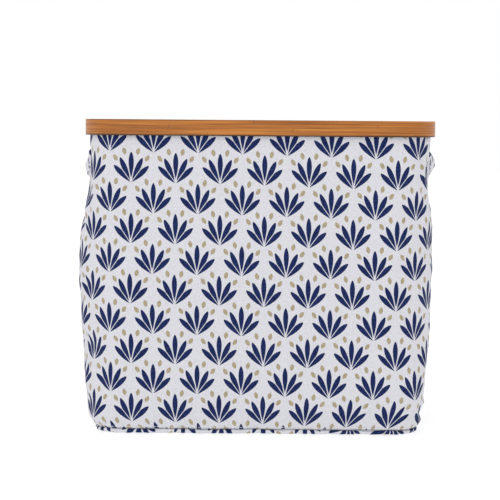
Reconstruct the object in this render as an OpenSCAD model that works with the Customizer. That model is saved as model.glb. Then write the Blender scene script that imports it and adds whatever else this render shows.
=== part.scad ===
// Fabric storage bin with a bamboo rim, two cloth pull handles and a wall that presses down flat.
// The rim is two hoops screwed together over the cloth. Four bowed spring stays hold it up.
// Origin: middle of the underside. +X is the long way, towards the right handle. The front faces -Y.

/* [Rim] */
// Length of the rim over its outside, left to right
rim_w = 400; // [320:1:480]
// Depth of the rim over its outside, front to back
rim_d = 300; // [260:1:360]
// Height of both hoops
rim_h = 18; // [14:1:24]
// Radius of the rim's outside corners
rim_corner_r = 50; // [45:1:60]
// Thickness of each bent bamboo hoop
hoop_t = 5; // [4:0.5:6]

/* [Bag] */
// Height of the whole bin
total_h = 358; // [320:1:400]
// Height of the cut between the wall that moves with the rim and the wall that crumples
split_h = 284; // [250:1:285]
// How far the walls swell out at half height
wall_swell = 8.5; // [0:0.5:12]
// How far the foot of the wall draws in under the rim
foot_inset = 16.5; // [8:0.5:24]
// Thickness of the printed cloth and of the lining
cloth_t = 1; // [0.8:0.1:1.2]
// Room between the printed cloth and the lining
wall_room = 3.2; // [3:0.1:5]

/* [Base] */
// Thickness of the loose base board
board_t = 3; // [2:0.5:4]
// Thickness of the cloth sleeve round the board
sleeve_t = 0.8; // [0.6:0.1:1.2]

/* [Stays] */
// Width of a spring-steel stay
stay_w = 10; // [8:1:12]
// Thickness of a stay
stay_t = 0.8; // [0.6:0.1:1]

/* [Handles] */
// Free length of a strap between its sewn ends
strap_len = 160; // [130:5:170]
// Height of a strap
strap_h = 33; // [25:1:40]
// Thickness of the folded strap
strap_t = 2.6; // [2:0.2:3]
// Drop from the rim's underside to the strap's top edge
strap_drop = 16; // [14:1:24]
// How far the strap's top edge stands off the wall at its middle
strap_bow_top = 7; // [6:0.5:9]
// How far the strap's bottom edge stands off the wall at its middle
strap_bow_low = 13; // [10:0.5:16]
// Length of each sewn end
tab_len = 21; // [16:1:22]

/* [Hidden] */
$fn = 64;

bamboo = "#c07a3c";
print_cloth = "#dfe1ea";
navy_cloth = "#33447c";
lining_cloth = "#f0eee8";
steel = "#a9adb3";
brass = "#c9a24a";
board_brown = "#b08d62";
thread_white = "#f4f4f4";

fit = 0.2;                                        // room between pieces that lie together
rim_under = total_h - rim_h;                      // the wall leaves the hoops at this height
clamp_in = hoop_t + fit;                          // from the rim's outside to the printed cloth
inner_hoop_in = clamp_in + 2 * cloth_t + 2 * fit; // from the rim's outside to the inner hoop
rim_wall_t = inner_hoop_in + hoop_t;
cloth_top = total_h - 4;                          // the clamped cloth ends below the hoops' top
body_gap = 0.3;                                   // between the two bodies at the cut
taper_h = 22;                                     // the lining closes on the cloth over this height
foot_power = 6;                                   // how suddenly the foot of the wall draws in
corner_steps = 10;

floor_z = cloth_t + fit;                          // underside of the lining's floor
sleeve_z = floor_z + cloth_t + fit;               // underside of the board's sleeve
board_z = sleeve_z + sleeve_t;
sleeve_h = board_t + 2 * sleeve_t;
board_gap = 2;                                    // from the lining to the sleeve, all round

screw_r = 1.4;
screw_head_r = 3;
screw_head_h = 2;
screw_len = 11;
slot_len = 3.4;                                   // the cross in the screw's head
slot_w = 0.8;
slot_depth = 1;
screw_hole_r = screw_r + fit;
screw_z = total_h - rim_h / 2;

channel_t = 0.4;                                  // cloth of a stay's channel
channel_gap = 0.8;                                // from the printed cloth to the channel
stay_low = 12;
stay_top = 310;
stay_steps = 24;
channel_ends = 2;                                 // the channel runs past the stay at both ends

strap_top = rim_under - strap_drop;
strap_low = strap_top - strap_h;
strap_stand = 0.5;                                // the strap's ends clear the wall by this
strap_steps = 16;
end_gap = 0.4;                                    // between a strap and its sewn ends
thread_t = 0.5;
thread_w = 0.9;
thread_gap = 0.05;                                // the thread clears the sewn end by this
slab_steps = 8;
stitch_inset = 2.5;

// ---- shape of the wall ----

// How far the printed cloth stands outside its clamped line at height z
function swell(z) =
    let (t = min(z / rim_under, 1))
    wall_swell * pow(sin(180 * t), 2) - foot_inset * pow(1 - t, foot_power);

// From the printed cloth's outside to the lining's outside at height z
function lining_in(z) =
    cloth_t + fit + (wall_room - fit) * max(0, min(1, (rim_under - z) / taper_h));

// The printed cloth's outside on the right-hand wall at height z
function wall_x(z) = rim_w / 2 - clamp_in + swell(z);

// A level loop of points round the bin at height z, `inset` inside the printed cloth's outside
function loop_at(z, inset) =
    let (
        r = rim_corner_r - clamp_in - inset,
        cx = rim_w / 2 - rim_corner_r + swell(z),
        cy = rim_d / 2 - rim_corner_r + swell(z)
    )
    [for (corner = [0 : 3])
        for (step = [0 : corner_steps])
            let (a = 90 * (corner + step / corner_steps))
            [
                (corner == 0 || corner == 3 ? cx : -cx) + r * cos(a),
                (corner < 2 ? cy : -cy) + r * sin(a),
                z
            ]];

// Heights from low to high, closer together near the foot
function heights(low, high, steps) =
    [for (i = [0 : steps]) low + (high - low) * pow(i / steps, 1.5)];

function joined(lists) = [for (list = lists) for (item = list) item];

// A closed skin through loops of equal length, each joined to the next
module skin(loops, closed) {
    n = len(loops[0]);
    m = len(loops);
    sides = [for (k = [0 : closed ? m - 1 : m - 2])
        for (i = [0 : n - 1])
            let (
                a = k * n + i,
                b = k * n + (i + 1) % n,
                c = ((k + 1) % m) * n + (i + 1) % n,
                d = ((k + 1) % m) * n + i
            )
            each [[a, c, b], [a, d, c]]];
    first_cap = [for (i = [0 : n - 1]) i];
    last_cap = [for (i = [n - 1 : -1 : 0]) (m - 1) * n + i];
    caps = closed ? [] : [first_cap, last_cap];
    polyhedron(points = joined(loops), faces = concat(sides, caps), convexity = 6);
}

// A tube of cloth round the bin. out_in and in_in give the insets of its two faces at a height.
module cloth_tube(zs, out_in, in_in) {
    n = len(zs);
    up = [for (z = zs) loop_at(z, out_in(z))];
    down = [for (i = [n - 1 : -1 : 0]) loop_at(zs[i], in_in(zs[i]))];
    skin(concat(up, down), true);
}

module printed_tube(zs) {
    cloth_tube(zs, function (z) 0, function (z) cloth_t);
}

module lining_tube(zs) {
    cloth_tube(zs, function (z) lining_in(z), function (z) lining_in(z) + cloth_t);
}

lower_steps = 12;
taper_low = rim_under - taper_h;
upper_heights = [
    split_h + body_gap, (split_h + taper_low) / 2, taper_low,
    rim_under - taper_h / 2, rim_under, cloth_top
];

// ---- rim ----

module rounded_rectangle(w, d, r) {
    square([w - 2 * r, d], center = true);
    square([w, d - 2 * r], center = true);
    for (x = [-1, 1])
        for (y = [-1, 1])
            translate([x * (w / 2 - r), y * (d / 2 - r)])
                circle(r);
}

// A bent bamboo hoop whose outside lies `inset` inside the rim's outside
module hoop(inset) {
    inner = inset + hoop_t;
    translate([0, 0, rim_under])
        linear_extrude(rim_h)
            difference() {
                rounded_rectangle(rim_w - 2 * inset, rim_d - 2 * inset, rim_corner_r - inset);
                rounded_rectangle(rim_w - 2 * inner, rim_d - 2 * inner, rim_corner_r - inner);
            }
}

// Places its children at each screw, on the rim's inside face, with +Z pointing outwards
module at_screws() {
    long_side = [-130, 0, 130];
    short_side = [-75, 75];
    for (side = [-1, 1]) {
        for (x = long_side)
            translate([x, side * (rim_d / 2 - rim_wall_t), screw_z])
                rotate([-90 * side, 0, 0])
                    children();
        for (y = short_side)
            translate([side * (rim_w / 2 - rim_wall_t), y, screw_z])
                rotate([0, 90 * side, 0])
                    children();
    }
}

module rim_outer_hoop() {
    color(bamboo)
        hoop(0);
}

module rim_inner_hoop() {
    color(bamboo)
        difference() {
            hoop(inner_hoop_in);
            at_screws() {
                translate([0, 0, -1])
                    cylinder(h = hoop_t + 2, r = screw_hole_r);
                cylinder(h = screw_head_h + fit, r = screw_head_r + fit);
            }
        }
}

module rim_screws() {
    color(brass)
        at_screws()
            translate([0, 0, fit])
                difference() {
                    union() {
                        cylinder(h = screw_head_h, r = screw_head_r);
                        cylinder(h = screw_len, r = screw_r);
                    }
                    for (turn = [0, 90])
                        rotate([0, 0, turn])
                            cube([slot_len, slot_w, 2 * slot_depth], center = true);
                }
}

// ---- cloth ----

module wall_lower() {
    color(print_cloth)
        printed_tube(heights(0, split_h, lower_steps));
}

module wall_upper() {
    color(print_cloth)
        printed_tube(upper_heights);
}

module lining_lower() {
    color(lining_cloth)
        lining_tube(heights(floor_z, split_h, lower_steps));
}

module lining_upper() {
    color(lining_cloth)
        lining_tube(upper_heights);
}

// A flat panel that lies inside the wall's foot at height z
module flat_panel(z, thickness, inset) {
    w = 2 * (rim_w / 2 - clamp_in + swell(z) - inset);
    d = 2 * (rim_d / 2 - clamp_in + swell(z) - inset);
    translate([0, 0, z])
        linear_extrude(thickness)
            rounded_rectangle(w, d, rim_corner_r - clamp_in - inset);
}

module bottom_panel() {
    color(print_cloth)
        flat_panel(0, cloth_t, cloth_t + fit);
}

module lining_floor() {
    color(lining_cloth)
        flat_panel(floor_z, cloth_t, lining_in(0) + cloth_t + fit);
}

// Tape folded round the raw edges where the wall meets the bottom, inside the two cloths
module bottom_binding() {
    tape_out = cloth_t + 0.5;
    tape_in = cloth_t + wall_room - 0.3;
    color(navy_cloth)
        cloth_tube([floor_z, 4, 8], function (z) tape_out, function (z) tape_in);
}

// ---- base board ----

module base_board() {
    color(board_brown)
        flat_panel(board_z, board_t, lining_in(0) + cloth_t + board_gap + sleeve_t);
}

module base_board_sleeve() {
    color(lining_cloth)
        difference() {
            flat_panel(sleeve_z, sleeve_h, lining_in(0) + cloth_t + board_gap);
            base_board();
        }
}

// ---- stays ----

// Stands its children on the corner's diagonal: local +X points out through the corner
module at_corner(side, face) {
    translate([side * (rim_w / 2 - rim_corner_r), face * (rim_d / 2 - rim_corner_r), 0])
        rotate([0, 0, atan2(face, side)])
            rotate([90, 0, 0])
                children();
}

// A strip that follows the corner of the wall, `depth` inside the printed cloth
module bowed_strip(low, high, depth, thickness, width) {
    steps = [for (i = [0 : stay_steps]) low + (high - low) * i / stay_steps];
    reach = rim_corner_r - clamp_in - depth;
    outside = [for (z = steps) [reach + sqrt(2) * swell(z), z]];
    inside = [for (i = [stay_steps : -1 : 0]) outside[i] - [thickness, 0]];
    linear_extrude(width, center = true)
        polygon(concat(outside, inside));
}

stay_depth = cloth_t + channel_gap + channel_t + fit;

module stay(side, face) {
    color(steel)
        at_corner(side, face)
            bowed_strip(stay_low, stay_top, stay_depth, stay_t, stay_w);
}

module channel(side, face) {
    room = stay_t + 2 * fit;
    color(lining_cloth)
        at_corner(side, face)
            difference() {
                bowed_strip(
                    stay_low - channel_ends,
                    stay_top + channel_ends,
                    stay_depth - channel_t - fit,
                    room + 2 * channel_t,
                    stay_w + 2 * fit + 2 * channel_t
                );
                bowed_strip(
                    stay_low - fit,
                    stay_top + fit,
                    stay_depth - fit,
                    room,
                    stay_w + 2 * fit
                );
            }
}

// ---- handles, drawn on the right and mirrored for the left ----

module on_side(side) {
    mirror([side < 0 ? 1 : 0, 0, 0])
        children();
}

// The strap's four corners at y: bowed most in the middle, and more at the bottom than the top
function strap_section(y) =
    let (
        bow = 1 - pow(2 * y / strap_len, 2),
        top_x = wall_x(strap_top) + strap_stand + strap_bow_top * bow,
        low_x = wall_x(strap_low) + strap_stand + strap_bow_low * bow
    )
    [
        [top_x, y, strap_top],
        [low_x, y, strap_low],
        [low_x + strap_t, y, strap_low],
        [top_x + strap_t, y, strap_top]
    ];

module handle_strap(side) {
    color(navy_cloth)
        on_side(side)
            skin(
                [for (i = [0 : strap_steps]) strap_section(strap_len * (i / strap_steps - 0.5))],
                false
            );
}

// A slab that lies on the wall from y to y + length, between two heights
module wall_slab(y, length, low, high, stand, thickness) {
    zs = [for (i = [0 : slab_steps]) low + (high - low) * i / slab_steps];
    outline = concat(
        [for (z = zs) [wall_x(z) + stand, z]],
        [for (i = [slab_steps : -1 : 0]) [wall_x(zs[i]) + stand + thickness, zs[i]]]
    );
    translate([0, y + length, 0])
        rotate([90, 0, 0])
            linear_extrude(length)
                polygon(outline);
}

module sewn_end(side, face) {
    color(navy_cloth)
        on_side(side)
            mirror([0, face < 0 ? 1 : 0, 0])
                wall_slab(strap_len / 2 + end_gap, tab_len, strap_low, strap_top, fit, strap_t);
}

// A rectangle of thread on each sewn end
module handle_stitching() {
    stand = fit + strap_t + thread_gap;
    near = strap_len / 2 + end_gap + stitch_inset;
    run = tab_len - 2 * stitch_inset;
    low = strap_low + stitch_inset;
    high = strap_top - stitch_inset;
    color(thread_white)
        for (side = [-1, 1])
            for (face = [-1, 1])
                on_side(side)
                    mirror([0, face < 0 ? 1 : 0, 0])
                        difference() {
                            wall_slab(near, run, low, high, stand, thread_t);
                            wall_slab(
                                near + thread_w,
                                run - 2 * thread_w,
                                low + thread_w,
                                high - thread_w,
                                stand - thread_t,
                                3 * thread_t
                            );
                        }
}

rim_outer_hoop();
rim_inner_hoop();
rim_screws();
wall_upper();
wall_lower();
lining_upper();
lining_lower();
lining_floor();
bottom_panel();
bottom_binding();
base_board();
base_board_sleeve();
stay(-1, -1);  // stay_front_left
stay(1, -1);  // stay_front_right
stay(-1, 1);  // stay_back_left
stay(1, 1);  // stay_back_right
channel(-1, -1);  // channel_front_left
channel(1, -1);  // channel_front_right
channel(-1, 1);  // channel_back_left
channel(1, 1);  // channel_back_right
handle_strap(-1);  // left_handle_strap
handle_strap(1);  // right_handle_strap
sewn_end(-1, -1);  // left_handle_front_end
sewn_end(-1, 1);  // left_handle_back_end
sewn_end(1, -1);  // right_handle_front_end
sewn_end(1, 1);  // right_handle_back_end
handle_stitching();
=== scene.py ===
"""Fabric storage bin with a bamboo rim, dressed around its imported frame.

Lengths are in metres and the front faces -Y. A cloth tube is worked out from its flat cut: s runs
round the bin from the middle of the front, positive to the right, and z is the height.
"""

import functools
import math

import bpy
import numpy as np
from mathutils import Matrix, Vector


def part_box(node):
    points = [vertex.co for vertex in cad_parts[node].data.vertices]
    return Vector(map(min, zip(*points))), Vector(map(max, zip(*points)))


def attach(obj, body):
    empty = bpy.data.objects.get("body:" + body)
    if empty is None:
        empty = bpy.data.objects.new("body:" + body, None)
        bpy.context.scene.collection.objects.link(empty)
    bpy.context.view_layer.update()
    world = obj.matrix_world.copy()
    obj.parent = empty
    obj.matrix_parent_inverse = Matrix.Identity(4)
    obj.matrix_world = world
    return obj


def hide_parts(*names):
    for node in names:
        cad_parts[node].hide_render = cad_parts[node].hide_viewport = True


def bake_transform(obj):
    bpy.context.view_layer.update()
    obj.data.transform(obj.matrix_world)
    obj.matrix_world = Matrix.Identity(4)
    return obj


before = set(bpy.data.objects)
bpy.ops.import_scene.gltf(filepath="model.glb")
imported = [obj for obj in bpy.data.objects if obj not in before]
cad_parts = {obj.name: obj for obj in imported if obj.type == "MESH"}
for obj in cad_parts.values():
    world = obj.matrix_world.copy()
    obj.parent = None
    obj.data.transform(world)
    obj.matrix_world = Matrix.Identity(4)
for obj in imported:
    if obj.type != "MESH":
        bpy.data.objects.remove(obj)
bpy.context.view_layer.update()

MM = 0.001


# ---- sizes, from the frame where it holds them ----

RIM_LOW, RIM_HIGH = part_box("rim_outer_hoop")
INNER_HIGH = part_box("rim_inner_hoop")[1]
HALF_W, HALF_D = RIM_HIGH.x, RIM_HIGH.y
TOP, RIM_UNDER = RIM_HIGH.z, RIM_LOW.z
RIM_R = 50 * MM  # outside corner of the rim
HOOP_T = 5 * MM
CLAMP_IN = HOOP_T + 0.2 * MM  # from the rim's outside to the printed cloth
CLOTH_R = RIM_R - CLAMP_IN
CLOTH_TOP = TOP - 4 * MM
CLOTH_T = 0.7 * MM

# How far the middle of each wall stands outside its clamped line, as (height, distance) in mm
LEFT_OUT = ((0, -9), (11, -3), (24, 4), (40, 7), (65, 11), (93, 14), (121, 18), (165, 20.5), (205, 20),
            (235, 14), (260, 6), (288, 0), (340, 0))
RIGHT_OUT = ((0, -13), (11, -10), (24, -8), (40, -4.5), (65, -2), (93, 1), (121, 4), (165, 7), (205, 7),
             (235, 6), (260, 1), (288, -3), (340, 0))
FRONT_OUT = ((0, -12), (11, -9), (26, -4), (60, 1), (110, 5), (170, 8), (230, 7), (290, 2), (340, 0))
BACK_OUT = ((0, -12), (11, -9), (26, -4), (60, 1), (110, 6), (170, 9), (230, 7), (290, 2), (340, 0))
CORNER_SHARE = 0.35  # the part of a wall's swell that its corners follow
CORNER_R = (30 * MM, 62 * MM)  # tightest and roundest corner

# The print's lattice: alternate rows are moved along by half a column
PRINT_COLUMN = 49.8
PRINT_ROW = 34.1
PRINT_AT = (-20.0, 320.8)  # foot of one leaf fan on the front, mm
# The cloth was clamped a little crooked, so its rows sink: (flat position, drop) in mm
PRINT_DROP = (
    (-641, 0), (-330, -1), (-200, -2), (-120, 0), (-45, 0.8),
    (0, 2), (80, 4.7), (154, 6.8), (230, 8), (430, 5), (641, 0),
)


# ---- shape of the cloth ----

def eased(points, z):
    """A smooth curve through (height, value) points in mm, read at heights z in metres."""
    zs, values = np.array(points, float).T
    slopes = np.gradient(values, zs)
    z = np.clip(np.asarray(z, float) / MM, zs[0], zs[-1])
    i = np.clip(np.searchsorted(zs, z, side="right") - 1, 0, len(zs) - 2)
    h = zs[i + 1] - zs[i]
    t = (z - zs[i]) / h
    a = (1 + 2 * t) * (1 - t) ** 2 * values[i] + t * (1 - t) ** 2 * h * slopes[i]
    b = t * t * (3 - 2 * t) * values[i + 1] - t * t * (1 - t) * h * slopes[i + 1]
    return (a + b) * MM


def flat_breaks():
    """Where the flat cut turns each corner, from the middle of the front to the middle of the back."""
    along, corner = HALF_W - RIM_R, CLOTH_R * math.pi / 2
    side = 2 * (HALF_D - RIM_R)
    return np.cumsum([0, along, corner, side, corner, along])


FLAT = flat_breaks()
HALF_GIRTH = FLAT[-1]


def corner_part(outs, z):
    """How far the corners of a wall stand out at height z: all of what it draws in, some of its swell."""
    middle = eased(outs, z)
    return np.where(middle > 0, CORNER_SHARE * middle, middle)


def place(s, z, inset=0.0):
    """Points and outward directions at flat positions s and heights z.

    Cloth doesn't stretch, so where the walls swell the corners grow rounder and keep its girth.
    """
    s, z = np.broadcast_arrays(np.asarray(s, float), np.asarray(z, float))
    side = np.where(s < 0, -1.0, 1.0)
    out = np.where(s < 0, corner_part(LEFT_OUT, z), corner_part(RIGHT_OUT, z))
    half = HALF_W - CLAMP_IN + out
    near = HALF_D - CLAMP_IN + corner_part(FRONT_OUT, z)
    far = HALF_D - CLAMP_IN + corner_part(BACK_OUT, z)
    lost = 4 - math.pi  # what each unit of corner radius takes off the half girth
    r = np.clip((2 * half + near + far - HALF_GIRTH) / lost, *CORNER_R)
    total = 2 * half + near + far - lost * r
    a = np.abs(s) * total / HALF_GIRTH
    front_end = half - r
    side_start = front_end + r * math.pi / 2
    side_run = near + far - 2 * r
    back_corner = side_start + side_run
    turn1 = np.clip((a - front_end) / r, 0, math.pi / 2)
    turn2 = np.clip((a - back_corner) / r, 0, math.pi / 2)
    x = np.minimum(a, front_end) + r * np.sin(turn1) - r * (1 - np.cos(turn2))
    x = x - np.clip(a - back_corner - r * math.pi / 2, 0, None)
    y = -near + r * (1 - np.cos(turn1)) + np.clip(a - side_start, 0, side_run) + r * np.sin(turn2)
    turn = turn1 + turn2
    outward = np.stack([side * np.sin(turn), -np.cos(turn), np.zeros_like(x)], -1)
    points = np.stack([side * x, y, z], -1)
    return points - outward * inset, outward


@functools.lru_cache(maxsize=None)
def noise_table(seed, n):
    return np.random.default_rng(seed).uniform(-1, 1, (n, 512))


def value_noise(u, v, cell_u, cell_v, seed, around=None):
    """Smooth noise from -1 to 1 on a lattice of cells. With around, u repeats after that length."""
    n = max(3, round(around / cell_u)) if around else 4096
    cell_u = around / n if around else cell_u
    table = noise_table(seed, n)
    gu, gv = u / cell_u, v / cell_v + 100
    iu, iv = np.floor(gu).astype(int), np.floor(gv).astype(int)
    fu, fv = gu - iu, gv - iv
    fu, fv = fu * fu * (3 - 2 * fu), fv * fv * (3 - 2 * fv)
    a = table[iu % n, iv % 512] * (1 - fu) + table[(iu + 1) % n, iv % 512] * fu
    b = table[iu % n, (iv + 1) % 512] * (1 - fu) + table[(iu + 1) % n, (iv + 1) % 512] * fu
    return a * (1 - fv) + b * fv


def bump(x, middle, width):
    return np.exp(-(((x - middle) / width) ** 2))


def fade(x, low, high):
    """0 below low, 1 above high, and smooth between."""
    t = np.clip((x - low) / (high - low), 0, 1)
    return t * t * (3 - 2 * t)


AROUND = 2 * HALF_GIRTH
SIDE_MIDDLE = (FLAT[2] + FLAT[3]) / 2  # flat position of the middle of the right-hand wall
CORNER_MIDDLE = (FLAT[1] + FLAT[2]) / 2  # and of its front corner
BACK_CORNER = (FLAT[3] + FLAT[4]) / 2

PUCKER_FADE = 13 * MM  # how far puckers and gathers reach from the edge that makes them

# Creases: (s, z) where each starts and ends, then its height and width, all in mm
CREASES = (
    ((122, 10), (128, 52), 1.6, 7.0),
    ((168, 6), (184, 44), 2.6, 4.5),
    ((178, 30), (206, 14), 2.2, 4.0),
    ((188, 10), (198, 38), -1.0, 3.4),
    ((150, 14), (172, 36), -0.9, 4.5),
    ((160, 40), (196, 62), 1.2, 6.0),
    ((186, 322), (182, 284), -1.5, 2.6),
    ((192, 318), (188, 280), 1.1, 3.0),
    ((-196, 338), (-190, 316), -1.2, 2.4),
    ((-204, 60), (-186, 18), 1.3, 7.0),
    ((-128, 8), (-122, 30), 1.0, 6.0),
    ((184, 322), (190, 276), -2.0, 3.0),
    ((196, 330), (192, 286), 1.8, 3.4),
    ((196, 23), (232, 26), -3.4, 3.0),
    ((192, 33), (228, 37), 2.8, 5.0),
    ((196, 12), (230, 14), 2.6, 4.0),
    ((206, 44), (214, 74), 1.6, 5.0),
    ((176, 318), (196, 300), 2.4, 4.2),
    ((180, 300), (204, 262), -1.8, 4.0),
    ((-196, 300), (-186, 262), 1.8, 5.0),
    ((-30, 7), (-26, 24), 0.9, 5.0),
    ((58, 8), (54, 26), 0.9, 5.0),
)


def crease(s, z, start, end, height, width):
    """One soft fold along a line, strongest half way along it."""
    run = np.subtract(end, start) * MM
    length = math.hypot(*run)
    ds, dz = s - start[0] * MM, z - start[1] * MM
    along = (ds * run[0] + dz * run[1]) / length**2
    across = (ds * run[1] - dz * run[0]) / length
    profile = np.exp(-np.abs(across) ** 1.5 / (width * MM) ** 1.5)
    return height * MM * profile * bump(along, 0.5, 0.42)


def crown(distance, reach):
    """1 at the middle of a wall, smoothly 0 at `reach` from it."""
    return np.cos(np.clip(distance / reach, -1, 1) * math.pi / 2) ** 2


def soft_relief(s, z):
    """The crown and slow swell of each wall, which the lining and the stays share with the print."""
    total = np.zeros(np.broadcast(s, z).shape)
    for outs, distance, reach in (
        (LEFT_OUT, s + SIDE_MIDDLE, 165 * MM),
        (RIGHT_OUT, s - SIDE_MIDDLE, 165 * MM),
        (FRONT_OUT, s, 200 * MM),
        (BACK_OUT, HALF_GIRTH - np.abs(s), 200 * MM),
    ):
        total = total + (eased(outs, z) - corner_part(outs, z)) * crown(distance, reach)
    free = fade(z, 0, 50 * MM) * fade(RIM_UNDER - z, 0, 60 * MM)
    slow = 1.3 * value_noise(s, z, 70 * MM, 120 * MM, 3, AROUND)
    slow = slow + 0.6 * value_noise(s, z, 30 * MM, 64 * MM, 5, AROUND)
    return total + slow * free * MM


def room_behind(s, z):
    """How far in the printed cloth can go before it meets the lining or a stay's pocket."""
    to_stay = np.minimum(np.abs(np.abs(s) - CORNER_MIDDLE), np.abs(np.abs(s) - BACK_CORNER))
    over_pocket = 1.2 * MM + 4 * MM * fade(to_stay, 9 * MM, 14 * MM)
    return np.minimum(lining_in(z) - 0.8 * MM, over_pocket)


def fine_relief(s, z):
    """Puckers under the rim, gathers above the hem, small wrinkles and the creases."""
    below = RIM_UNDER - z
    hung = fade(below, 0, 7 * MM)
    puckers = 0.9 * np.abs(value_noise(s, z, 8 * MM, 60 * MM, 11, AROUND))
    puckers = puckers * np.exp(-below.clip(0) / PUCKER_FADE)
    gathers = 1.5 * value_noise(s, z, 10 * MM, 50 * MM, 13, AROUND) * np.exp(-z / PUCKER_FADE)
    wrinkles = 0.30 * value_noise(s, z, 8 * MM, 17 * MM, 17, AROUND)
    wrinkles = wrinkles + 0.14 * value_noise(s, z, 4 * MM, 5 * MM, 19, AROUND)
    ruffled = 2.2 * crown(s + 212 * MM, 70 * MM) + 1.4 * crown(s - 210 * MM, 50 * MM)
    ruffles = ruffled * value_noise(s + 0.35 * z, z, 13 * MM, 17 * MM, 47, AROUND)
    ruffles = ruffles * fade(below, 4 * MM, 34 * MM)
    seam = -1.3 * bump(z, 5 * MM, 2.6 * MM)
    ridge = 0.7 * bump(HALF_GIRTH - np.abs(s), 0, 3.5 * MM)
    total = (puckers + gathers + wrinkles + ruffles + seam + ridge) * MM
    for start, end, height, width in CREASES:
        total = total + crease(s, z, start, end, height, width)
    return np.maximum(total * hung, -room_behind(s, z))


def on_wall(s, z, stand=0.0, fine=True):
    """Points at flat positions s and heights z, standing off the printed cloth's outside."""
    s, z = np.broadcast_arrays(np.asarray(s, float), np.asarray(z, float))
    points, outward = place(s, z)
    relief = soft_relief(s, z) + stand
    if fine:
        relief = relief + fine_relief(s, z)
    return points + outward * relief[..., None]


def print_drop(s):
    where, drops = np.array(PRINT_DROP, float).T
    spread = np.array([-24, -12, 0, 12, 24])
    return np.mean([np.interp(s / MM + step, where, drops) for step in spread], axis=0) * MM


def lining_in(z):
    return (1.2 + 3.0 * np.clip((RIM_UNDER - z) / (22 * MM), 0, 1)) * MM


# ---- meshes ----

def piece(name, points, faces, material, attribute=None):
    """A mesh object. attribute is (name, a vector for each point, in any grouping)."""
    mesh = bpy.data.meshes.new(name)
    mesh.from_pydata([tuple(map(float, p)) for p in points], [], faces)
    if attribute is not None:
        layer = mesh.attributes.new(attribute[0], "FLOAT_VECTOR", "POINT")
        layer.data.foreach_set("vector", np.asarray(attribute[1], float).ravel())
    mesh.polygons.foreach_set("use_smooth", [True] * len(mesh.polygons))
    mesh.materials.append(material)
    mesh.update()
    made = bpy.data.objects.new(name, mesh)
    bpy.context.scene.collection.objects.link(made)
    return made


def grid_faces(rows, cols, start=0, wrap=False):
    """Quads over rows of points. With wrap, the last column joins the first."""
    faces = []
    for i in range(rows - 1):
        for j in range(cols if wrap else cols - 1):
            a, b = start + i * cols + j, start + i * cols + (j + 1) % cols
            faces.append((a, b, b + cols, a + cols))
    return faces


def grid(name, points, material, attribute=None):
    rows, cols = points.shape[:2]
    return piece(name, points.reshape(-1, 3), grid_faces(rows, cols), material, attribute)


def turned_out(points, faces):
    """The faces of a closed surface, all turned over if they face inwards."""
    points = np.asarray(points, float)
    middle = points.mean(axis=0)
    volume = 0
    for face in faces:
        first, *others = points[list(face)] - middle
        for b, c in zip(others, others[1:]):
            volume += np.dot(first, np.cross(b, c))
    return faces if volume > 0 else [face[::-1] for face in faces]


def loft(name, sections, material, attribute=None):
    """A closed bar through equal loops of points, capped at both ends."""
    sections = np.asarray(sections)
    rows, cols = sections.shape[:2]
    faces = grid_faces(rows, cols, wrap=True)
    faces.append(tuple(range(cols - 1, -1, -1)))
    faces.append(tuple((rows - 1) * cols + j for j in range(cols)))
    points = sections.reshape(-1, 3)
    return piece(name, points, turned_out(points, faces), material, attribute)


def thicken(cloth, thickness):
    """Gives a sheet its thickness, all of it behind the face."""
    solid = cloth.modifiers.new("thickness", "SOLIDIFY")
    solid.thickness = thickness
    solid.offset = -1.0
    solid.use_even_offset = False
    return cloth


def rounded_section(width, height, radius, steps=3):
    """A rounded rectangle's outline as (across, up) pairs about its middle, anticlockwise."""
    outline = []
    for corner, (sx, sy) in enumerate(((1, 1), (-1, 1), (-1, -1), (1, -1))):
        for step in range(steps + 1):
            a = math.pi / 2 * (corner + step / steps)
            x = sx * (width / 2 - radius) + radius * math.cos(a)
            y = sy * (height / 2 - radius) + radius * math.sin(a)
            outline.append((x, y))
    return outline


def run_along(spots):
    """The distance from the first point of a line to each of its points."""
    steps = np.linalg.norm(np.diff(spots, axis=0), axis=1)
    return np.concatenate([[0], np.cumsum(steps)])


def read_along(far, values, at):
    """The vectors in values, read at a distance `at` along their line."""
    return np.array([np.interp(at, far, values[:, k]) for k in range(3)])


def stitches(name, lines, pitch, length, width):
    """Thread along lines of (point, outward) pairs: one rounded dash for each stitch."""
    points, faces = [], []
    ring = [(math.cos(a), math.sin(a)) for a in np.linspace(0, 2 * math.pi, 6, endpoint=False)]
    profile = ((-0.5, 0.35), (-0.36, 0.9), (0.0, 1.0), (0.36, 0.9), (0.5, 0.35))
    for line in lines:
        spots, normals = (np.array(part, float) for part in zip(*line))
        far = run_along(spots)
        count = max(1, int(far[-1] / pitch))
        for t in (np.arange(count) + 0.5) * far[-1] / count:
            at = read_along(far, spots, t)
            up = read_along(far, normals, t)
            run = read_along(far, spots, t + 0.2 * pitch) - read_along(far, spots, t - 0.2 * pitch)
            run = run / np.linalg.norm(run)
            side = np.cross(up, run)
            side = side / np.linalg.norm(side)
            up = np.cross(run, side)
            start = len(points)
            for along, r in profile:
                lift = width * (0.25 - 1.6 * along * along)
                middle = at + run * along * length + up * lift
                for c, d in ring:
                    points.append(middle + (side * c + up * d * 0.7) * r * width / 2)
            faces += grid_faces(len(profile), len(ring), start, wrap=True)
            faces.append(tuple(start + k for k in range(len(ring) - 1, -1, -1)))
            last = start + (len(profile) - 1) * len(ring)
            faces.append(tuple(last + k for k in range(len(ring))))
    return piece(name, points, faces, THREAD)


# ---- materials ----

def srgb(r, g, b):
    """A linear colour from sRGB values of 0 to 255."""
    def linear(v):
        v = v / 255
        return v / 12.92 if v <= 0.04045 else ((v + 0.055) / 1.055) ** 2.4
    return (linear(r), linear(g), linear(b), 1.0)


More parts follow.
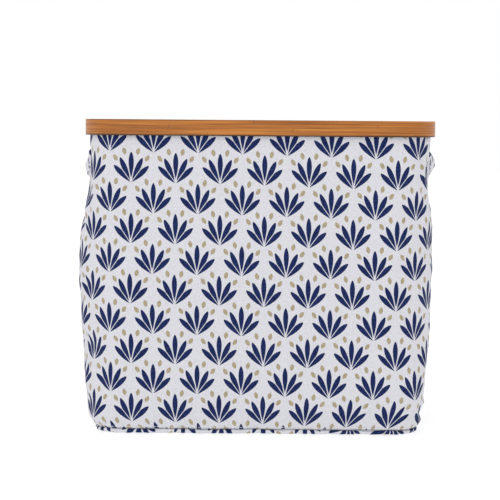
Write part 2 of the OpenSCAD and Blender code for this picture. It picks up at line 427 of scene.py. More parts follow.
class Nodes:
    """Short calls that add nodes to a material's tree and return their output sockets."""

    def __init__(self, name):
        self.material = bpy.data.materials.new(name)
        self.material.use_nodes = True
        self.tree = self.material.node_tree
        self.shader = self.tree.nodes["Principled BSDF"]

    def add(self, kind, inputs, output=0, **settings):
        node = self.tree.nodes.new(kind)
        for key, value in settings.items():
            setattr(node, key, value)
        for key, value in inputs.items():
            self.set(node.inputs[key], value)
        return node.outputs[output]

    def set(self, socket, value):
        if isinstance(value, bpy.types.NodeSocket):
            self.tree.links.new(value, socket)
        else:
            socket.default_value = value

    def math(self, operation, *values):
        return self.add("ShaderNodeMath", dict(enumerate(values)), operation=operation)

    def ramp(self, value, low, high, to_low=0.0, to_high=1.0):
        inputs = {0: value, 1: low, 2: high, 3: to_low, 4: to_high}
        return self.add("ShaderNodeMapRange", inputs)

    def mix(self, factor, a, b):
        inputs = {0: factor, 6: a, 7: b}
        return self.add("ShaderNodeMix", inputs, output=2, data_type="RGBA")

    def attribute(self, name):
        return self.add("ShaderNodeAttribute", {}, output="Vector", attribute_name=name)

    def place(self):
        return self.add("ShaderNodeTexCoord", {}, output="Object")

    def scaled(self, vector, x, y, z):
        inputs = {0: vector, 1: (x, y, z)}
        return self.add("ShaderNodeVectorMath", inputs, operation="MULTIPLY")

    def split(self, vector):
        node = self.tree.nodes.new("ShaderNodeSeparateXYZ")
        self.set(node.inputs[0], vector)
        return node.outputs

    def join(self, x, y, z=0.0):
        return self.add("ShaderNodeCombineXYZ", {0: x, 1: y, 2: z})

    def noise(self, vector, detail=2.0, roughness=0.5):
        inputs = {"Vector": vector, "Scale": 1.0, "Detail": detail, "Roughness": roughness}
        return self.add("ShaderNodeTexNoise", inputs)

    def finish(self, color, roughness, height=None, depth=0.0002, strength=1.0, **constants):
        """Sets the shader. constants are other Principled inputs, set on their own sockets."""
        self.set(self.shader.inputs["Base Color"], color)
        self.set(self.shader.inputs["Roughness"], roughness)
        for key, value in constants.items():
            self.shader.inputs[key.replace("_", " ")].default_value = value
        if height is not None:
            inputs = {"Strength": strength, "Distance": depth, "Height": height}
            self.set(self.shader.inputs["Normal"], self.add("ShaderNodeBump", inputs))
        return self.material


def weave(n, along, up, pitch):
    """Plain weave: warp and weft take turns on top. along, up and pitch are in mm."""
    u = n.math("MULTIPLY", along, math.pi / pitch)
    v = n.math("MULTIPLY", up, math.pi / pitch)
    over = n.math("MULTIPLY", n.math("SINE", u), n.math("SINE", v))
    warp = n.math("ABSOLUTE", n.math("SINE", u))
    weft = n.math("ABSOLUTE", n.math("SINE", v))
    side = n.ramp(over, -0.2, 0.2)
    inputs = {0: side, 2: warp, 3: weft}
    return n.add("ShaderNodeMix", inputs, data_type="FLOAT")


def slubs(n, at):
    """Thicker threads that run a short way along the warp and the weft."""
    across = n.noise(n.scaled(at, 0.16, 1.5, 1), detail=2.0)
    upright = n.noise(n.scaled(at, 1.5, 0.16, 1), detail=2.0)
    return n.math("ADD", n.math("MULTIPLY", across, 0.5), n.math("MULTIPLY", upright, 0.5))


# Leaves of a fan: angle from upright in degrees, then start, length and width in mm
LEAVES = ((0.0, 5.0, 29.5, 6.3), (24.3, 1.9, 28.8, 6.4), (46.2, 0.2, 27.2, 6.5))
# Seeds: angle from upright, distance of the middle from the fan's foot, mm
SEEDS = ((12.4, 35.9), (33.0, 32.7))
SEED_W, SEED_L = 4.9, 8.6
LEAF_FULLEST = 1.4  # above 1, a leaf is widest past its middle
LEAF_ROUND = 0.56  # below 1, a leaf is fuller towards both ends
LEAF_GAP = 0.5  # the bare line left between two leaves, mm
INK_EDGE = 0.3  # how softly the ink ends, mm


def along_ray(n, x, y, angle):
    """Distance along and across a ray from the fan's foot, leaning away from upright."""
    a = math.radians(angle)
    along = n.math("ADD", n.math("MULTIPLY", x, math.sin(a)), n.math("MULTIPLY", y, math.cos(a)))
    across = n.math("SUBTRACT", n.math("MULTIPLY", x, math.cos(a)), n.math("MULTIPLY", y, math.sin(a)))
    return along, across


def leaf(n, x, y, angle, start, length, width):
    """How far inside one leaf a point is, in mm."""
    along, across = along_ray(n, x, y, angle)
    t = n.ramp(along, start, start + length)
    full = n.math("SINE", n.math("MULTIPLY", n.math("POWER", t, LEAF_FULLEST), math.pi))
    full = n.math("POWER", n.math("MAXIMUM", full, 0.0), LEAF_ROUND)
    half = n.math("SUBTRACT", n.math("MULTIPLY", full, width / 2), 0.1)
    return n.math("SUBTRACT", half, n.math("ABSOLUTE", across))


def seed(n, x, y, angle, middle):
    """How far inside one pointed oval seed a point is, in mm."""
    along, across = along_ray(n, x, y, angle)
    t = n.math("ABSOLUTE", n.math("DIVIDE", n.math("SUBTRACT", along, middle), SEED_L / 2))
    full = n.math("SUBTRACT", 1.0, n.math("POWER", t, 2.2))
    half = n.math("MULTIPLY", full, SEED_W / 2)
    return n.math("SUBTRACT", half, n.math("ABSOLUTE", across))


def beside(n, one, other):
    """Two neighbouring leaves with a bare line kept between them."""
    apart = n.math("ABSOLUTE", n.math("SUBTRACT", one, other))
    spare = n.math("MULTIPLY", n.math("SUBTRACT", apart, LEAF_GAP), 0.5)
    return n.math("MINIMUM", n.math("MAXIMUM", one, other), spare)


def fan(n, x, y):
    """Ink masks for the leaves and the seeds of one lattice. x and y are in mm."""
    row = 2 * PRINT_ROW
    x = n.math("FLOORED_MODULO", n.math("ADD", x, PRINT_COLUMN / 2), PRINT_COLUMN)
    x = n.math("ABSOLUTE", n.math("SUBTRACT", x, PRINT_COLUMN / 2))
    y = n.math("SUBTRACT", n.math("FLOORED_MODULO", n.math("ADD", y, 6.0), row), 6.0)
    centre, middle, outer = (leaf(n, x, y, *shape) for shape in LEAVES)
    leaves = beside(n, beside(n, centre, middle), outer)
    upper, lower = (seed(n, x, y, *shape) for shape in SEEDS)
    return leaves, n.math("MAXIMUM", upper, lower)


def printed_cloth():
    n = Nodes("printed_cloth")
    at = n.scaled(n.attribute("print_at"), 1 / MM, 1 / MM, 1 / MM)
    u, v, _ = n.split(at)
    bleed = n.noise(n.scaled(at, 1.1, 1.1, 1), detail=3.0)
    wobble = n.ramp(bleed, 0.2, 0.8, -0.22, 0.22)
    x = n.math("SUBTRACT", u, PRINT_AT[0])
    y = n.math("SUBTRACT", v, PRINT_AT[1])
    leaves, seeds = fan(n, x, y)
    shifted = n.math("ADD", x, PRINT_COLUMN / 2)
    more_leaves, more_seeds = fan(n, shifted, n.math("ADD", y, PRINT_ROW))
    leaves = n.math("ADD", n.math("MAXIMUM", leaves, more_leaves), wobble)
    seeds = n.math("ADD", n.math("MAXIMUM", seeds, more_seeds), wobble)
    threads = slubs(n, at)
    mottle = n.noise(n.scaled(at, 0.42, 0.42, 1), detail=5.0, roughness=0.8)
    tone = n.math("ADD", n.math("MULTIPLY", threads, 0.4), n.math("MULTIPLY", mottle, 0.6))
    ground = n.mix(n.ramp(tone, 0.38, 0.62), srgb(196, 196, 202), srgb(218, 218, 224))
    patches = n.noise(n.scaled(at, 0.5, 0.5, 1), detail=4.0)
    navy = n.mix(n.ramp(patches, 0.34, 0.66), srgb(2, 14, 52), srgb(24, 44, 102))
    tan = n.mix(n.ramp(patches, 0.34, 0.66), srgb(152, 139, 112), srgb(176, 163, 136))
    color = n.mix(n.ramp(seeds, 0.0, INK_EDGE), ground, tan)
    color = n.mix(n.ramp(leaves, 0.0, INK_EDGE), color, navy)
    cloth = weave(n, u, v, 0.9)
    height = n.math("ADD", n.math("MULTIPLY", cloth, 0.45), threads)
    return n.finish(
        color, 0.9, height, 0.00018, 0.7, Sheen_Weight=0.03, Sheen_Roughness=0.5, Specular_IOR_Level=0.25
    )


def lining_cloth():
    n = Nodes("lining_cloth")
    at = n.scaled(n.place(), 1 / MM, 1 / MM, 1 / MM)
    fibres = n.noise(n.scaled(at, 0.9, 0.9, 0.9), detail=6.0, roughness=0.7)
    dimples = n.add("ShaderNodeTexVoronoi", {"Vector": at, "Scale": 0.55}, output="Distance")
    color = n.mix(n.ramp(fibres, 0.35, 0.65), srgb(222, 220, 213), srgb(238, 237, 231))
    height = n.math("ADD", n.math("MULTIPLY", fibres, 0.6), n.ramp(dimples, 0.1, 0.7))
    return n.finish(color, 0.95, height, 0.00018, 0.6, Sheen_Weight=0.1)


STRIP_HIGH = 4.6  # height of one strip of bamboo in the rim, mm
NODE_SPACING = 233.0  # from one node mark to the next along a strip, mm
NODE_SHIFT = 371.0  # how far each strip's marks are moved along from those below, mm


def bamboo():
    """Level strips of bamboo with fine fibres, faint node marks, a darker line along the top edge and
    painted shade along the lower edge.
    """
    n = Nodes("bamboo")
    at = n.scaled(n.attribute("grain_at"), 1 / MM, 1 / MM, 1 / MM)
    along, up, deep = n.split(at)

    def fibres(run, rise, detail):
        across = n.math("MULTIPLY", up, rise)
        inwards = n.math("MULTIPLY", deep, rise * 0.6)
        return n.noise(n.join(n.math("MULTIPLY", along, run), across, inwards), detail=detail)

    broad, fine, hair = fibres(0.004, 0.3, 2.0), fibres(0.009, 0.8, 3.0), fibres(0.03, 2.4, 2.0)
    grain = n.math("ADD", n.math("MULTIPLY", broad, 0.35), n.math("MULTIPLY", fine, 0.45))
    grain = n.math("ADD", grain, n.math("MULTIPLY", hair, 0.2))
    color = n.mix(n.ramp(grain, 0.41, 0.6), srgb(130, 68, 8), srgb(196, 124, 48))
    strip = n.math("FLOOR", n.math("DIVIDE", up, STRIP_HIGH))
    shifted = n.math("ADD", along, n.math("MULTIPLY", strip, NODE_SHIFT))
    uneven = n.math("ADD", shifted, n.math("MULTIPLY", fine, 3.0))
    spot = n.math("FLOORED_MODULO", uneven, NODE_SPACING)
    mark = n.math("SUBTRACT", 1.0, n.ramp(n.math("ABSOLUTE", n.math("SUBTRACT", spot, 90.0)), 0.3, 1.6))
    color = n.mix(n.math("MULTIPLY", mark, 0.25), color, srgb(96, 52, 20))
    # a darker line along the top edge
    color = n.mix(n.ramp(up, 8.0, 9.0, 0.0, 0.45), color, srgb(92, 50, 20))
    # painted shade: the lower edge darkened nearly to black, standing in for the shadow where the rim
    # overhangs the cloth
    color = n.mix(n.ramp(up, -6.9, -8.2, 0.0, 0.92), color, srgb(34, 18, 8))
    height = n.math("SUBTRACT", grain, n.math("MULTIPLY", mark, 0.3))
    gloss = n.ramp(hair, 0.3, 0.7, 0.34, 0.5)
    return n.finish(
        color, gloss, height, 0.00016, 0.45, Specular_IOR_Level=0.35, Coat_Weight=0.06, Coat_Roughness=0.3
    )


def thread():
    n = Nodes("thread")
    at = n.scaled(n.place(), 1 / MM, 1 / MM, 1 / MM)
    twist = n.noise(n.scaled(at, 3.0, 3.0, 3.0), detail=2.0)
    color = n.mix(twist, srgb(214, 216, 224), srgb(240, 241, 246))
    return n.finish(color, 0.7, twist, 0.0001, 0.6, Sheen_Weight=0.2)


def tape():
    n = Nodes("binding_tape")
    at = n.scaled(n.place(), 1 / MM, 1 / MM, 1 / MM)
    ribs = n.noise(n.scaled(at, 0.6, 0.6, 3.5), detail=3.0)
    color = n.mix(n.ramp(ribs, 0.35, 0.65), srgb(204, 206, 214), srgb(226, 228, 235))
    return n.finish(color, 0.9, ribs, 0.0002, 0.6, Sheen_Weight=0.1)


def hardboard():
    n = Nodes("board")
    at = n.scaled(n.place(), 1 / MM, 1 / MM, 1 / MM)
    chips = n.noise(n.scaled(at, 0.5, 0.5, 0.5), detail=6.0, roughness=0.75)
    color = n.mix(n.ramp(chips, 0.3, 0.7), srgb(146, 112, 74), srgb(190, 156, 112))
    return n.finish(color, 0.8, chips, 0.0002, 0.5)


def spring_steel():
    n = Nodes("spring_steel")
    at = n.scaled(n.place(), 1 / MM, 1 / MM, 1 / MM)
    brushed = n.noise(n.scaled(at, 3.0, 3.0, 0.05), detail=3.0)
    color = n.mix(brushed, srgb(176, 179, 184), srgb(208, 210, 214))
    return n.finish(color, n.ramp(brushed, 0.3, 0.7, 0.28, 0.42), brushed, 0.00005, 0.4, Metallic=1.0)


def brass():
    n = Nodes("screw_brass")
    at = n.scaled(n.place(), 1 / MM, 1 / MM, 1 / MM)
    worn = n.noise(n.scaled(at, 0.8, 0.8, 0.8), detail=4.0)
    color = n.mix(n.ramp(worn, 0.35, 0.65), srgb(176, 138, 62), srgb(214, 178, 98))
    return n.finish(color, n.ramp(worn, 0.3, 0.7, 0.24, 0.4), worn, 0.00004, 0.4, Metallic=1.0)


PRINTED = printed_cloth()
LINING = lining_cloth()
BAMBOO = bamboo()
THREAD = thread()
TAPE = tape()
BOARD = hardboard()
STEEL = spring_steel()
BRASS = brass()


# ---- rim ----

def rim_outline(inset):
    """Points round the rim at one inset, with outward directions, from the back's middle and round."""
    r = RIM_R - inset
    cx, cy = HALF_W - RIM_R, HALF_D - RIM_R
    points, outward = [], []

    def straight(start, end, normal):
        count = max(2, int(math.dist(start, end) / (12 * MM)))
        for t in np.linspace(0, 1, count, endpoint=False):
            points.append((start[0] + (end[0] - start[0]) * t, start[1] + (end[1] - start[1]) * t))
            outward.append(normal)

    def corner(x, y, first):
        for a in np.linspace(first, first + math.pi / 2, 20, endpoint=False):
            points.append((x + r * math.cos(a), y + r * math.sin(a)))
            outward.append((math.cos(a), math.sin(a)))

    half_joint = 0.15 * MM
    quarter = math.pi / 2
    straight((-half_joint, cy + r), (-cx, cy + r), (0, 1))
    corner(-cx, cy, quarter)
    straight((-cx - r, cy), (-cx - r, -cy), (-1, 0))
    corner(-cx, -cy, 2 * quarter)
    straight((-cx, -cy - r), (cx, -cy - r), (0, -1))
    corner(cx, -cy, 3 * quarter)
    straight((cx + r, -cy), (cx + r, cy), (1, 0))
    corner(cx, cy, 0)
    straight((cx, cy + r), (half_joint, cy + r), (0, 1))
    points.append((half_joint, cy + r))
    outward.append((0, 1))
    return np.array(points), np.array(outward)


def hoop(name, inset):
    """One bent strip of bamboo with eased edges. Its ends meet at the middle of the back."""
    spots, outward = rim_outline(inset)
    far = run_along(spots)
    section = rounded_section(HOOP_T, TOP - RIM_UNDER, 0.9 * MM)
    middle_z = (TOP + RIM_UNDER) / 2
    sections, grain = [], []
    for (x, y), (nx, ny), along in zip(spots, outward, far):
        loop, marks = [], []
        for across, up in section:
            depth = across - HOOP_T / 2
            loop.append((x + nx * depth, y + ny * depth, middle_z + up))
            marks.append((along + inset * 60, up, depth))
        sections.append(loop)
        grain.append(marks)
    return loft(name, sections, BAMBOO, ("grain_at", grain))


outer_hoop = hoop("outer_hoop", 0)
inner_hoop = hoop("inner_hoop", HALF_W - INNER_HIGH.x)
for made, node in ((outer_hoop, "rim_outer_hoop"), (inner_hoop, "rim_inner_hoop")):
    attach(made, "rim")
    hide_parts(node)


# ---- printed wall, hem and lining ----

COLUMN = 3 * MM
WALL_FOOT = 5.9 * MM  # height of the line where the wall meets its rolled hem
around_s = np.linspace(-HALF_GIRTH, HALF_GIRTH, round(AROUND / COLUMN) + 1)


def tube(name, levels, stand, fine, material):
    """A cloth tube from flat positions, with the print's coordinates at every point."""
    s, z = np.meshgrid(around_s, levels)
    points = on_wall(s, z, stand(z), fine)
    prints = np.stack([s, z + print_drop(s), np.zeros_like(s)], -1)
    return grid(name, points, material, ("print_at", prints))


def follows_wall(made):
    """Bakes the piece's transform into its mesh."""
    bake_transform(made)


GATHERS_TOP = 48 * MM  # below this, the wall's rows lie closer together
wall_levels = np.concatenate([
    np.arange(WALL_FOOT, GATHERS_TOP, 1.8 * MM),
    np.linspace(GATHERS_TOP, CLOTH_TOP, 112),
])
wall = thicken(tube("printed_wall", wall_levels, lambda z: 0.0, True, PRINTED), CLOTH_T)

# The hem's roll, from the seam out, down and under: (outward, height) in mm
HEM = (
    (-3.4, 5.4), (-1.2, 5.3), (0.4, 4.7), (1.1, 3.6), (1.1, 2.4),
    (0.5, 1.3), (-0.6, 0.6), (-3, 0.3), (-6, 0.4), (-9, 0.9),
)
HEM_PRINT = (21 * MM, -7 * MM)  # the turned-under cloth shows another stretch of the print
FOOT_Z = 4 * MM  # height where the foot's outline is read


def hem():
    """The wall's lower edge, rolled under and gathered, so its outline is lumpy."""
    rows, prints = [], []
    level = np.full(len(around_s), 5 * MM)
    lumps = value_noise(around_s, level, 26 * MM, 50 * MM, 23, AROUND)
    small = value_noise(around_s, level, 7 * MM, 50 * MM, 29, AROUND)
    skewed = 5 * MM * value_noise(around_s, level, 17 * MM, 50 * MM, 37, AROUND)
    drift = 7 * MM * value_noise(around_s, level, 45 * MM, 50 * MM, 41, AROUND)
    far = 0.0
    for k, (out, z) in enumerate(HEM):
        middle, outward = place(around_s, FOOT_Z)
        round_part = fade(np.array(out), -4, 0.5)
        swollen = out + round_part * (0.9 * lumps + 0.7 * small)
        height = z + (1.3 * lumps.clip(0) + 0.7 * small.clip(0)) * (1 - z / 8) + 0.9 * lumps * z / 6
        rows.append(middle + outward * (swollen * MM)[:, None])
        rows[-1][:, 2] = height * MM
        if k:
            far += math.dist(HEM[k - 1], HEM[k]) * MM
        across, up = around_s + HEM_PRINT[0] + skewed, HEM_PRINT[1] + drift + far
        prints.append(np.stack([across, up, np.zeros_like(up)], 1))
    made = grid("rolled_hem", np.array(rows)[::-1], PRINTED, ("print_at", np.array(prints)[::-1]))
    return thicken(made, CLOTH_T)


rolled_hem = hem()

LINING_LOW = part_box("lining_lower")[0].z
LINING_BEND = 30 * MM  # below this, the lining's rows are 5 mm apart
lining_levels = np.concatenate([
    np.arange(LINING_LOW + 1 * MM, LINING_BEND, 5 * MM),
    np.linspace(LINING_BEND, CLOTH_TOP, 66),
])
lining = thicken(tube("lining", lining_levels, lambda z: -lining_in(z), False, LINING), CLOTH_T)

for cloth, nodes, slot_name in (
    (wall, ("wall_upper", "wall_lower"), "printed_cloth"),
    (lining, ("lining_upper", "lining_lower"), "lining_cloth"),
):
    follows_wall(cloth)
    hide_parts(*nodes)
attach(rolled_hem, "bag")


# ---- bottom ----

def foot_outline(inset, step=1):
    """The foot's outline, inset from the printed cloth, as a closed loop."""
    return place(around_s[::step][:-1], FOOT_Z, inset)[0]


def flat_sheet(name, inset, z, wave, seed_number):
    """A flat panel in rings that shrink towards its middle, with slow ripples in its height."""
    outer = foot_outline(inset, step=3)
    rings = []
    for k in np.linspace(1, 0.02, 26):
        ring = outer * (k, k, 1)
        ripple = value_noise(ring[:, 0], ring[:, 1], 34 * MM, 34 * MM, seed_number)
        ring[:, 2] = z + wave * ripple * fade(1 - k, 0, 0.15)
        rings.append(ring)
    rings = np.array(rings)
    rows, cols = rings.shape[:2]
    faces = grid_faces(rows, cols, wrap=True)
    faces.append(tuple((rows - 1) * cols + j for j in range(cols)))
    made = thicken(piece(name, rings.reshape(-1, 3), faces, LINING), CLOTH_T)
    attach(made, "bag")
    return made


BOTTOM_INSET = 3.5 * MM
bottom = flat_sheet("bottom_cloth", BOTTOM_INSET, 1.7 * MM, 0.25 * MM, 31)
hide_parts("bottom_panel")

FLOOR_INSET = 5.4 * MM
inner_floor = flat_sheet("inner_floor", FLOOR_INSET, LINING_LOW + 1 * MM, 0.05 * MM, 37)
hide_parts("lining_floor")


def wrapped_faces(rows, cols):
    """Quads over a ring of loops that closes on itself both ways."""
    faces = []
    for i in range(rows):
        for j in range(cols):
            a, b = i * cols + j, i * cols + (j + 1) % cols
            c, d = (i + 1) % rows * cols + (j + 1) % cols, (i + 1) % rows * cols + j
            faces.append((a, d, c, b))
    return faces


def binding():
    """Tape folded over the raw edges, a flat band with a soft fold at its lower edge."""
    spots = around_s[::2][:-1]
    level = np.full(len(spots), 4 * MM)
    ripple = 0.12 * MM * value_noise(spots, level, 9 * MM, 50 * MM, 41, AROUND)
    loops = []
    for across, up in rounded_section(1.0 * MM, 6.0 * MM, 0.45 * MM):
        z = 4.8 * MM + up
        middle, outward = place(spots, z, 3.3 * MM)
        loops.append(middle + outward * (across + ripple)[:, None])
    loops = np.array(loops).transpose(1, 0, 2)
    made = piece("edge_tape", loops.reshape(-1, 3), wrapped_faces(*loops.shape[:2]), TAPE)
    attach(made, "bag")
    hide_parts("bottom_binding")


binding()


def board_sleeve():
    """The cloth sleeve on the base board: soft edges, a little slack on top, sewn along one end."""
    low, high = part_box("base_board_sleeve")
    edge = 1.6 * MM
    profile = [(k, 0.0) for k in (60, 30, 12)]
    for a in np.linspace(-math.pi / 2, math.pi / 2, 9):
        profile.append(((1 - math.cos(a)) * edge / MM, (math.sin(a) + 1) / 2))
    profile += [(k, 1.0) for k in (4, 7, 12, 20, 30, 42, 56, 72, 90, 108)]
    rings = []
    for inset, t in profile:
        r = max(CLOTH_R - 7 * MM - inset * MM, 4 * MM)
        ring = np.array(rounded_section(2 * (high.x - inset * MM), 2 * (high.y - inset * MM), r, 12))
        z = low.z + (high.z - low.z) * t
        ripple = value_noise(ring[:, 0], ring[:, 1], 26 * MM, 26 * MM, 43) * (0.3 * MM if t == 1.0 else 0)
        rings.append(np.column_stack([ring, z - np.abs(ripple)]))
    made = thicken(loft("board_sleeve", rings, LINING), CLOTH_T)
    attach(made, "bag")
    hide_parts("base_board_sleeve")
    seam = rounded_section(2 * (high.x - 6 * MM), 2 * (high.y - 6 * MM), CLOTH_R - 13 * MM, 8)
    line = [((x, y, high.z + 0.05 * MM), (0, 0, 1)) for x, y in [*seam, seam[0]]]
    sewn = stitches("sleeve_stitches", [line], 3.6 * MM, 2.6 * MM, 0.7 * MM)
    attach(sewn, "bag")


board_sleeve()


# ---- stays in their channels ----

CHANNEL_IN = 2.1 * MM  # from the printed cloth's outside to a channel
CHANNEL_T = 0.4 * MM
STAY_W, STAY_T = 10 * MM, 0.8 * MM
STAY_GAP = 0.2 * MM  # between a stay's face and its channel
SIDE_GAP = 0.4 * MM  # and between its edge and the channel


def strip_up_wall(s, low, high, depth, section):
    """Sections of a strip that follows the wall at s, its middle `depth` inside the cloth."""
    zs = np.linspace(low, high, 70)
    spots = np.full(len(zs), s)
    outward = place(spots, zs)[1]
    middles = on_wall(spots, zs, -depth, fine=False)
    across = np.cross((0, 0, 1), outward)
    return [
        [middle + out_way * out + side_way * along for out, along in section]
        for middle, out_way, side_way in zip(middles, outward, across)
    ]


for name, s in (
    ("front_left", -CORNER_MIDDLE),
    ("front_right", CORNER_MIDDLE),
    ("back_left", -BACK_CORNER),
    ("back_right", BACK_CORNER),
):
    low, high = (corner.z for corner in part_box(f"stay_{name}"))
    depth = CHANNEL_IN + CHANNEL_T + STAY_GAP + STAY_T / 2
    steel_strip = rounded_section(STAY_T, STAY_W, 0.35 * MM)
    stay = loft(f"spring_{name}", strip_up_wall(s, low, high, depth, steel_strip), STEEL)
    inner_t, inner_w = STAY_T + 2 * STAY_GAP, STAY_W + 2 * SIDE_GAP
    outside = rounded_section(inner_t + 2 * CHANNEL_T, inner_w + 2 * CHANNEL_T, 0.6 * MM)
    inside = rounded_section(inner_t, inner_w, 0.4 * MM)
    outer_wall = np.array(strip_up_wall(s, low - 2 * MM, high + 2 * MM, depth, outside))
    inner_wall = np.array(strip_up_wall(s, low - 2 * MM, high + 2 * MM, depth, inside))[::-1]
    ring = np.concatenate([outer_wall, inner_wall])
    points = ring.reshape(-1, 3)
    pocket = piece(f"pocket_{name}", points, turned_out(points, wrapped_faces(*ring.shape[:2])), LINING)
    for made, node, slot_name in (
        (stay, f"stay_{name}", "spring_steel"),
        (pocket, f"channel_{name}", "lining_cloth"),
    ):
        follows_wall(made)
        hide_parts(node)


# ---- handles ----

STRAP_LOW, STRAP_HIGH = (corner.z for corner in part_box("right_handle_strap"))
STRAP_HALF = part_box("right_handle_strap")[1].y
STRAP_T = 2.4 * MM
FOLD_T = 0.6 * MM  # each of the strap's two folded layers
END_NEAR, END_FAR = (corner.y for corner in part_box("right_handle_back_end"))
END_STAND = 0.3 * MM
EDGE_SEAMS = (0.09, 0.91)  # the strap's two rows of stitches, as shares of its height
STRAP_PRINT = {1: (0.325, -0.011), -1: (0.322, -0.013)}  # where each strap's cut falls on the print
# How far the strap bows off the wall at its middle, from its top edge down: (share of height, mm)
BOWS = {
    1: ((0, 7), (0.25, 14), (0.5, 17), (0.8, 12), (1, 8)),
    -1: ((0, 3), (0.3, 9), (0.6, 13), (1, 9)),
}


def strap_z(u):
    """The height at a share u of the strap, from its top edge down."""
    return STRAP_HIGH - u * (STRAP_HIGH - STRAP_LOW)


def wall_at(side, y, z):
    """A point just off the left (-1) or right (1) wall at y, and which way the wall faces there."""
    point = on_wall(np.array([side * (SIDE_MIDDLE + y)]), z, END_STAND)[0]
    return np.array([point[0], y, z]), np.array([float(side), 0, 0])


def bow_off(side, u, y):
    """How far the strap bows off the wall at y and a share u of its height."""
    shares, depths = zip(*BOWS[side])
    slack = 1 - (y / STRAP_HALF) ** 2
    ease = np.interp(np.linspace(u - 0.12, u + 0.12, 9), shares, depths).mean()
    ease = ease + 1.9 * value_noise(np.array(u), np.array(y), 0.33, 9 * MM, 53 + side)
    return ease * MM * slack * (1 + 0.35 * slack) / 1.35


def band_loop(side, y, depth):
    """A band's cross-section at y, down its outer face and up its inner one.

    depth(u, outer) says how far off the wall each face is at a share u of the strap's height.
    """
    us = np.linspace(0, 1, 13)
    loop = []
    for outer in (True, False):
        row = []
        for u in us if outer else us[::-1]:
            base, outward = wall_at(side, y, strap_z(u))
            row.append(base + outward * depth(u, outer))
        loop += row if outer else row[1:-1]
    return loop if side > 0 else loop[::-1]


def strap_loop(side, y):
    """The strap's cross-section at y: a folded band, thick in the middle and thin at its edges."""
    def depth(u, outer):
        swell = (1 - abs(2 * u - 1) ** 6) ** 0.5
        pinch = 1 - 0.18 * (bump(u, 0.1, 0.035) + bump(u, 0.9, 0.035))
        half = STRAP_T / 2 * swell * pinch
        middle = END_STAND + bow_off(side, u, y) + STRAP_T / 2
        return middle + (half if outer else -half)
    return band_loop(side, y, depth)


def end_loop(side, y, edge):
    """A sewn end's cross-section at y, flat on the wall. edge is the share of its full thickness."""
    def depth(u, outer):
        swell = (1 - abs(2 * u - 1) ** 8) ** 0.5
        return STRAP_T * (swell * edge if outer else 0.0)
    return band_loop(side, y, depth)


def strap_print(side, loop):
    """The strap is cut across the cloth, so its leaves lie along it."""
    across, along = STRAP_PRINT[side]
    return [(p[2] - across, along - p[1], 0) for p in loop]


def strap_half(side, face, label):
    """Half a strap, from one sewn end to the middle, with the stitches along its two edges."""
    ys = np.linspace(STRAP_HALF, 0, 26) * face
    loops = [strap_loop(side, y) for y in ys]
    loops = loops if face < 0 else loops[::-1]
    prints = [strap_print(side, loop) for loop in loops]
    name = f"{label}_strap_{'front' if face < 0 else 'back'}"
    made = thicken(loft(name, loops, PRINTED, ("print_at", prints)), FOLD_T)
    rows = []
    for u in EDGE_SEAMS:
        line = []
        for y in np.linspace(STRAP_HALF - 1 * MM, 1 * MM, 40) * face:
            base, outward = wall_at(side, y, strap_z(u))
            line.append((base + outward * (END_STAND + bow_off(side, u, y) + STRAP_T * 0.93), outward))
        rows.append(line)
    sewn = stitches(f"{made.name}_stitches", rows, 3.2 * MM, 2.3 * MM, 0.6 * MM)
    for piece_made, slot_name in ((made, "printed_cloth"), (sewn, "thread")):
        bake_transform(piece_made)
    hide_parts(f"{label}_handle_strap")


def sewn_end(side, face, label):
    """The strap's end, turned under and stitched flat to the wall with a crossed box."""
    loops, prints = [], []
    between = np.linspace(END_NEAR + 1.4 * MM, END_FAR - 1.4 * MM, 9)
    spots = [END_NEAR, END_NEAR + 0.5 * MM, *between, END_FAR - 0.5 * MM, END_FAR]
    for k, y in enumerate(spots):
        edge = min(1.0, 0.35 + 0.65 * min(k, len(spots) - 1 - k) / 2)
        loops.append(end_loop(side, y * face, edge))
        prints.append(strap_print(side, loops[-1]))
    where = "front" if face < 0 else "back"
    made = loft(f"{label}_sewn_{where}", loops, PRINTED, ("print_at", prints))
    near, far = END_NEAR + 2.5 * MM, END_FAR - 2.5 * MM
    low, high = STRAP_LOW + 2.5 * MM, STRAP_HIGH - 2.5 * MM
    corners = [(near, low), (far, low), (far, high), (near, high), (near, low), (far, high)]
    lines = []
    for (y0, z0), (y1, z1) in [*zip(corners, corners[1:]), (corners[1], corners[3])]:
        line = []
        for t in np.linspace(0, 1, 10):
            y, z = y0 + (y1 - y0) * t, z0 + (z1 - z0) * t
            base, outward = wall_at(side, y * face, z)
            line.append((base + outward * (STRAP_T + 0.1 * MM), outward))
        lines.append(line)
    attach(made, "rim")
    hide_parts(f"{label}_handle_{where}_end")
    return lines


cross_lines = []
for side, label in ((-1, "left"), (1, "right")):
    for face in (-1, 1):
        strap_half(side, face, label)
        cross_lines += sewn_end(side, face, label)
crosses = stitches("crossed_boxes", cross_lines, 2.9 * MM, 2.2 * MM, 0.75 * MM)
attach(crosses, "rim")
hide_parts("handle_stitching")


# ---- seams ----

def wall_line(s, z, stand):
    """A line over the printed wall, as (point, outward) pairs."""
    return list(zip(on_wall(s, z, stand), place(s, z)[1]))


HEM_SEAM_Z = 8.2 * MM
BACK_SEAM_IN = 4 * MM  # from the back seam to the stitches on each side of it
SEAM_STITCH = (3.4 * MM, 2.4 * MM, 0.6 * MM)  # pitch, length and width
SEAM_STAND = 0.15 * MM
hem_line = wall_line(around_s[::2], np.full(len(around_s[::2]), HEM_SEAM_Z), SEAM_STAND)
hem_stitches = stitches("hem_stitches", [hem_line], *SEAM_STITCH)
seam_heights = np.linspace(9 * MM, RIM_UNDER - 2 * MM, 110)
seam_lines = []
for side in (-1, 1):
    seam_at = np.full(len(seam_heights), side * (HALF_GIRTH - BACK_SEAM_IN))
    seam_lines.append(wall_line(seam_at, seam_heights, SEAM_STAND))
seam_stitches = stitches("back_seam_stitches", seam_lines, *SEAM_STITCH)
for sewn in (hem_stitches, seam_stitches):
    follows_wall(sewn)


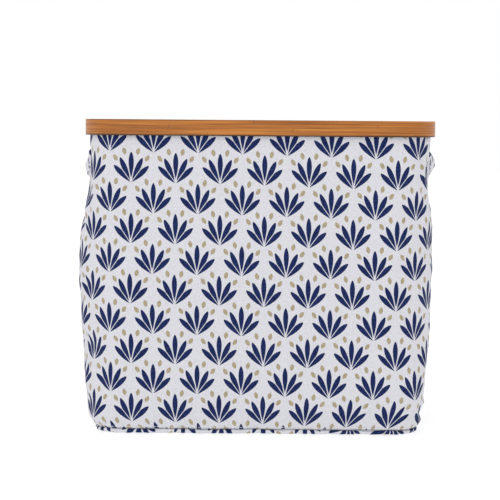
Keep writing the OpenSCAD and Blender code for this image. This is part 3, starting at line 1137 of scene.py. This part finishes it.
# ---- carried-over nodes ----

for node, finish in (("rim_screws", BRASS), ("base_board", BOARD)):
    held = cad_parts[node]
    held.data.materials.clear()
    held.data.materials.append(finish)


# ---- camera, floor and light ----

CAMERA_AT = (-0.012, -HALF_D - 1.70, TOP)
CAMERA_DOWN, CAMERA_LEAN = math.radians(4.88), math.radians(-0.43)

camera_data = bpy.data.cameras.new("camera")
camera_data.lens = 109.6
camera = bpy.data.objects.new("camera", camera_data)
camera.location = CAMERA_AT
camera.rotation_euler = (math.pi / 2 - CAMERA_DOWN, CAMERA_LEAN, 0)
bpy.context.scene.collection.objects.link(camera)
bpy.context.scene.camera = camera

studio = Nodes("floor")
floor_grain = studio.noise(studio.scaled(studio.place(), 40, 40, 40), detail=2.0)
floor_color = studio.mix(floor_grain, (0.36, 0.36, 0.36, 1), (0.4, 0.4, 0.4, 1))
studio.finish(floor_color, 0.9, Emission_Color=(1, 1, 1, 1), Emission_Strength=0.68)
floor = piece("floor", [(-6, -6, 0), (6, -6, 0), (6, 9, 0), (-6, 9, 0)], [(0, 1, 2, 3)], studio.material)


def soft_light(name, at, towards, size, power):
    data = bpy.data.lights.new(name, "AREA")
    data.shape = "RECTANGLE"
    data.size = data.size_y = size
    data.energy = power
    light = bpy.data.objects.new(name, data)
    light.location = at
    light.rotation_euler = (Vector(towards) - Vector(at)).to_track_quat("-Z", "Y").to_euler()
    bpy.context.scene.collection.objects.link(light)


MIDDLE = (0, 0, TOP / 2)
soft_light("key", (-1.6, -2.4, 1.9), MIDDLE, 1.4, 9)
soft_light("strip", (-0.62, -2.3, 0.5), MIDDLE, 0.3, 1.6)
soft_light("fill", (2.2, -2.0, 1.2), MIDDLE, 1.6, 1.5)

world = bpy.data.worlds.new("studio")
world.use_nodes = True
world.node_tree.nodes["Background"].inputs["Color"].default_value = (1, 1, 1, 1)
world.node_tree.nodes["Background"].inputs["Strength"].default_value = 1.0
bpy.context.scene.world = world
bpy.context.scene.view_settings.view_transform = "Standard"
